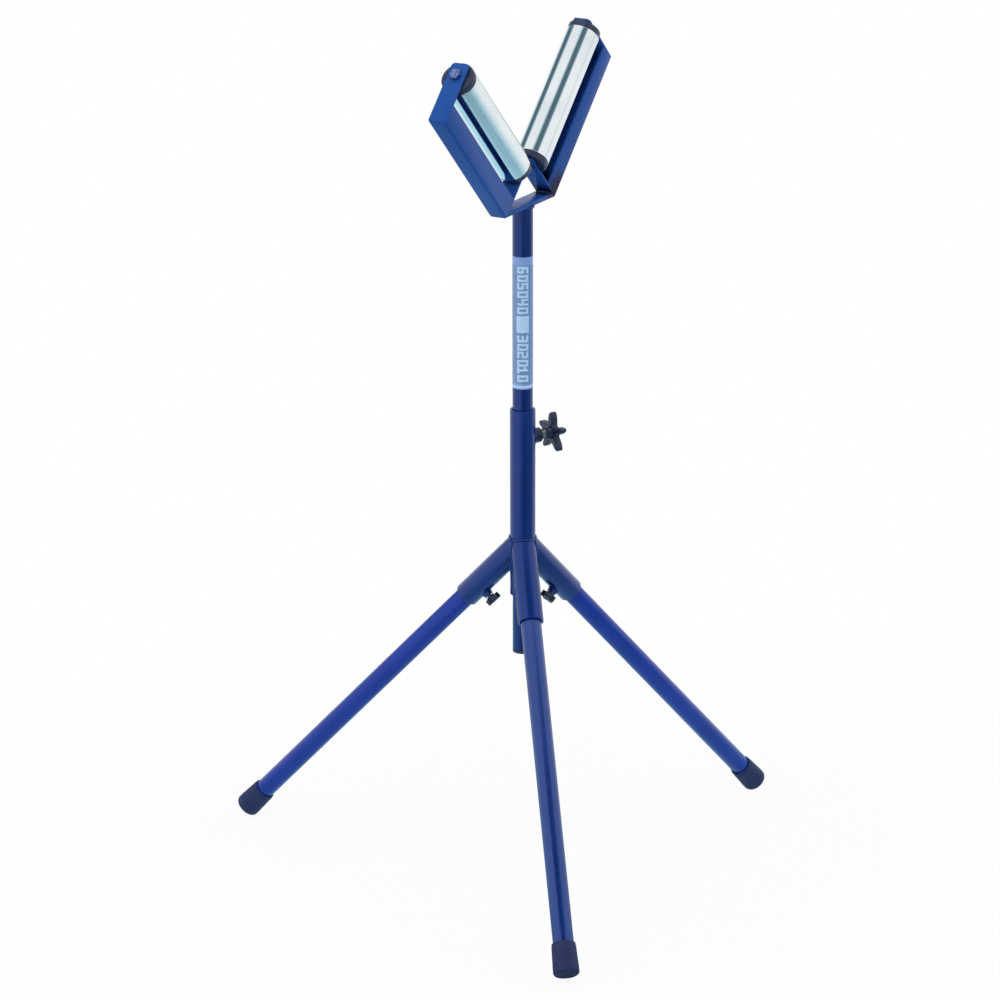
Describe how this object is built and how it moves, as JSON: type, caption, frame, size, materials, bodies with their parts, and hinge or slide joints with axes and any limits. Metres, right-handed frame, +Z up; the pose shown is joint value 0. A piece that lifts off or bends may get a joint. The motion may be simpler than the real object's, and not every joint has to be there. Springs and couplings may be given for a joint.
{
  "type": "v roller stand",
  "caption": "Tripod floor stand whose height-adjustable, clamped post carries a V of free-turning steel rollers, for holding up pipe or long stock.",
  "frame": {"origin": "on the floor, under the middle of the whole stand's bounding box", "axes": "+Z up; the V of the rollers lies parallel to the X-Z plane, with the right arm rising towards +X"},
  "size_m": [0.7386, 0.6848, 1.1245],
  "materials": {
    "blue_enamel": "glossy blue enamel",
    "bright_chrome": "bright plated",
    "zinc_plate": "zinc plated",
    "blackened_steel": "black oxide",
    "black_plastic": "moulded, semi-matt",
    "black_rubber": "moulded, matt"
  },
  "bodies": {
    "stand": {"column_tube": "blue_enamel", "leg_socket_right": "blue_enamel", "leg_socket_left": "blue_enamel", "leg_socket_front": "blue_enamel", "column_clamp_boss": "blue_enamel", "leg_clamp_boss_right": "blue_enamel", "leg_clamp_boss_left": "blue_enamel", "leg_clamp_boss_front": "blue_enamel"},
    "post_foot": {"post_end_plug": "black_plastic"},
    "head": {"post_tube": "blue_enamel", "head_base_plate": "blue_enamel", "roller_channel_left": "blue_enamel", "roller_channel_right": "blue_enamel", "axle_bolt_left": "blackened_steel", "axle_bolt_right": "blackened_steel", "axle_nut_left": "blackened_steel", "axle_nut_right": "blackened_steel", "axle_spacer_left_low": "zinc_plate", "axle_spacer_left_high": "zinc_plate", "axle_spacer_right_low": "zinc_plate", "axle_spacer_right_high": "zinc_plate"},
    "left_roller": {"roller_tube_left": "bright_chrome", "roller_cap_left_low": "black_plastic", "roller_cap_left_high": "black_plastic", "roller_bearing_left_low": "zinc_plate", "roller_bearing_left_high": "zinc_plate"},
    "right_roller": {"roller_tube_right": "bright_chrome", "roller_cap_right_low": "black_plastic", "roller_cap_right_high": "black_plastic", "roller_bearing_right_low": "zinc_plate", "roller_bearing_right_high": "zinc_plate"},
    "right_leg": {"leg_tube_right": "blue_enamel", "foot_cap_right": "black_rubber"},
    "left_leg": {"leg_tube_left": "blue_enamel", "foot_cap_left": "black_rubber"},
    "front_leg": {"leg_tube_front": "blue_enamel", "foot_cap_front": "black_rubber"},
    "column_screw": {"column_clamp_stud": "zinc_plate"},
    "column_knob": {"column_clamp_knob": "black_plastic"},
    "right_leg_screw": {"leg_clamp_stud_right": "zinc_plate"},
    "right_leg_knob": {"leg_clamp_knob_right": "black_plastic"},
    "left_leg_screw": {"leg_clamp_stud_left": "zinc_plate"},
    "left_leg_knob": {"leg_clamp_knob_left": "black_plastic"},
    "front_leg_screw": {"leg_clamp_stud_front": "zinc_plate"},
    "front_leg_knob": {"leg_clamp_knob_front": "black_plastic"}
  },
  "joints": [
    {"name": "post_height", "type": "slide", "parent": "stand", "child": "post_foot", "axis": [0, 0, 1], "range_m": [-0.265, 0.22]},
    {"name": "head_swivel", "type": "hinge", "parent": "post_foot", "child": "head", "pos_m": [-0.0233, -0.08072, 0.6], "axis": [0, 0, 1], "continuous": true},
    {"name": "left_roller_spin", "type": "hinge", "parent": "head", "child": "left_roller", "pos_m": [-0.1167, -0.08072, 1.03375], "axis": [-0.7071, 0, 0.7071], "continuous": true},
    {"name": "right_roller_spin", "type": "hinge", "parent": "head", "child": "right_roller", "pos_m": [0.0701, -0.08072, 1.03375], "axis": [0.7071, 0, 0.7071], "continuous": true},
    {"name": "right_leg_slide", "type": "slide", "parent": "stand", "child": "right_leg", "axis": [0.6282, -0.2719, -0.729], "range_m": [0, 0.07]},
    {"name": "left_leg_slide", "type": "slide", "parent": "stand", "child": "left_leg", "axis": [-0.0787, 0.68, -0.729], "range_m": [0, 0.07]},
    {"name": "front_leg_slide", "type": "slide", "parent": "stand", "child": "front_leg", "axis": [-0.5496, -0.4081, -0.729], "range_m": [0, 0.07]},
    {"name": "column_screw_travel", "type": "slide", "parent": "stand", "child": "column_screw", "axis": [0.891, -0.454, 0], "range_m": [0, 0.0025]},
    {"name": "column_knob_turn", "type": "hinge", "parent": "column_screw", "child": "column_knob", "pos_m": [-0.0233, -0.08072, 0.5941], "axis": [0.891, -0.454, 0], "range_deg": [0, 720]},
    {"name": "right_leg_screw_travel", "type": "slide", "parent": "stand", "child": "right_leg_screw", "axis": [-0.669, 0.2895, -0.6845], "range_m": [0, 0.002]},
    {"name": "right_leg_knob_turn", "type": "hinge", "parent": "right_leg_screw", "child": "right_leg_knob", "pos_m": [0.03513, -0.106, 0.38331], "axis": [-0.669, 0.2895, -0.6845], "range_deg": [0, 720]},
    {"name": "left_leg_screw_travel", "type": "slide", "parent": "stand", "child": "left_leg_screw", "axis": [0.0838, -0.7241, -0.6845], "range_m": [0, 0.002]},
    {"name": "left_leg_knob_turn", "type": "hinge", "parent": "left_leg_screw", "child": "left_leg_knob", "pos_m": [-0.03062, -0.01748, 0.38331], "axis": [0.0838, -0.7241, -0.6845], "range_deg": [0, 720]},
    {"name": "front_leg_screw_travel", "type": "slide", "parent": "stand", "child": "front_leg_screw", "axis": [0.5852, 0.4346, -0.6845], "range_m": [0, 0.002]},
    {"name": "front_leg_knob_turn", "type": "hinge", "parent": "front_leg_screw", "child": "front_leg_knob", "pos_m": [-0.07441, -0.11868, 0.38331], "axis": [0.5852, 0.4346, -0.6845], "range_deg": [0, 720]}
  ],
  "couplings": [
    {"joint": "column_screw_travel", "follows": "column_knob_turn", "m_per_rad": 0.00019894},
    {"joint": "right_leg_screw_travel", "follows": "right_leg_knob_turn", "m_per_rad": 0.00015915},
    {"joint": "left_leg_screw_travel", "follows": "left_leg_knob_turn", "m_per_rad": 0.00015915},
    {"joint": "front_leg_screw_travel", "follows": "front_leg_knob_turn", "m_per_rad": 0.00015915}
  ]
}
